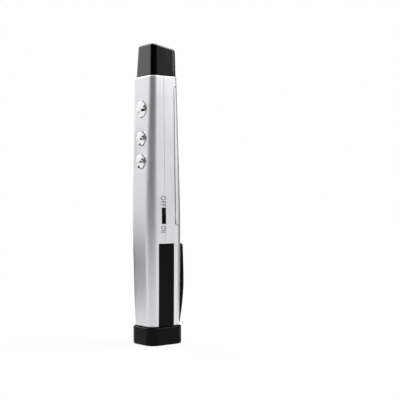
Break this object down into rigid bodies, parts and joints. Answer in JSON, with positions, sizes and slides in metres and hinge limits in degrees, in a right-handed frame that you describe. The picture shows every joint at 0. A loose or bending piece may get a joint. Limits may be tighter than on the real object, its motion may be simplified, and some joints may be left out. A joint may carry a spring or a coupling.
{
  "type": "wireless presentation clicker",
  "caption": "Slim pen-shaped wireless presenter with page and laser buttons, side power switch, battery door, pocket clip and a USB receiver that stows in its tail.",
  "frame": {"origin": "centre of the tail cap's flat end, on which the presenter stands", "axes": "+Z from the tail to the nose, -Y out of the face with the buttons, +X out of the side with the power switch"},
  "size_m": [0.0189, 0.026, 0.15],
  "materials": {
    "housing_silver": "satin silver paint on moulded plastic",
    "nose_black": "high-gloss black",
    "trim_black": "satin black",
    "button_chrome": null,
    "knob_black": "matt black",
    "plunger_white": "moulded",
    "switch_dark": "moulded",
    "switch_tin": "tinned sheet",
    "board_green": "solder mask",
    "chip_black": "moulded package",
    "crystal_steel": "plain can",
    "barrel_brass": "turned",
    "lens_clear": "polished",
    "diode_gold": "gilt can",
    "cell_sleeve": null,
    "contact_nickel": "nickel plated",
    "screw_steel": "blackened",
    "plug_steel": "nickel plated sheet",
    "tongue_white": "moulded",
    "contact_gold": "gilt"
  },
  "bodies": {
    "receiver": {"tail_cap": "trim_black", "receiver_front_shell": "trim_black", "receiver_rear_shell": "trim_black", "receiver_board": "board_green", "receiver_chip": "chip_black", "usb_shell": "plug_steel", "usb_tongue": "tongue_white", "usb_contacts": "contact_gold"},
    "housing": {"front_housing": "housing_silver", "rear_housing": "housing_silver", "nose_cap": "nose_black", "clip_screw": "screw_steel", "laser_switch": "switch_dark", "page_up_switch": "switch_dark", "page_down_switch": "switch_dark", "power_switch_case": "switch_tin", "main_board": "board_green", "radio_chip": "chip_black", "crystal": "crystal_steel", "laser_barrel": "barrel_brass", "laser_lens": "lens_clear", "laser_diode": "diode_gold", "laser_board": "board_green", "battery_cell": "cell_sleeve", "battery_spring": "contact_nickel", "battery_plate": "contact_nickel", "housing_screws": "screw_steel", "board_screws": "screw_steel"},
    "laser_button": {"laser_button": "button_chrome", "laser_plunger": "plunger_white"},
    "page_up_button": {"page_up_button": "button_chrome", "page_up_plunger": "plunger_white"},
    "page_down_button": {"page_down_button": "button_chrome", "page_down_plunger": "plunger_white"},
    "power_knob": {"power_knob": "knob_black"},
    "battery_door": {"battery_door": "housing_silver"},
    "pocket_clip": {"pocket_clip": "trim_black"}
  },
  "joints": [
    {"name": "laser_press", "type": "slide", "parent": "housing", "child": "laser_button", "axis": [0, 1, 0], "range_m": [0, 0.0004], "stiffness_N_per_m": 3000},
    {"name": "page_up_press", "type": "slide", "parent": "housing", "child": "page_up_button", "axis": [0, 1, 0], "range_m": [0, 0.0004], "stiffness_N_per_m": 3000},
    {"name": "page_down_press", "type": "slide", "parent": "housing", "child": "page_down_button", "axis": [0, 1, 0], "range_m": [0, 0.0004], "stiffness_N_per_m": 3000},
    {"name": "power_slide", "type": "slide", "parent": "housing", "child": "power_knob", "axis": [0, 0, -1], "range_m": [0, 0.0036]},
    {"name": "door_lift", "type": "slide", "parent": "housing", "child": "battery_door", "axis": [0, 1, 0], "range_m": [0, 0.012]},
    {"name": "clip_flex", "type": "hinge", "parent": "housing", "child": "pocket_clip", "pos_m": [0, 0.0097, 0.0099], "axis": [-1, 0, 0], "range_deg": [0, 4], "stiffness_Nm_per_rad": 2},
    {"name": "body_lift", "type": "slide", "parent": "receiver", "child": "housing", "axis": [0, 0, 1], "range_m": [0, 0.055]}
  ]
}
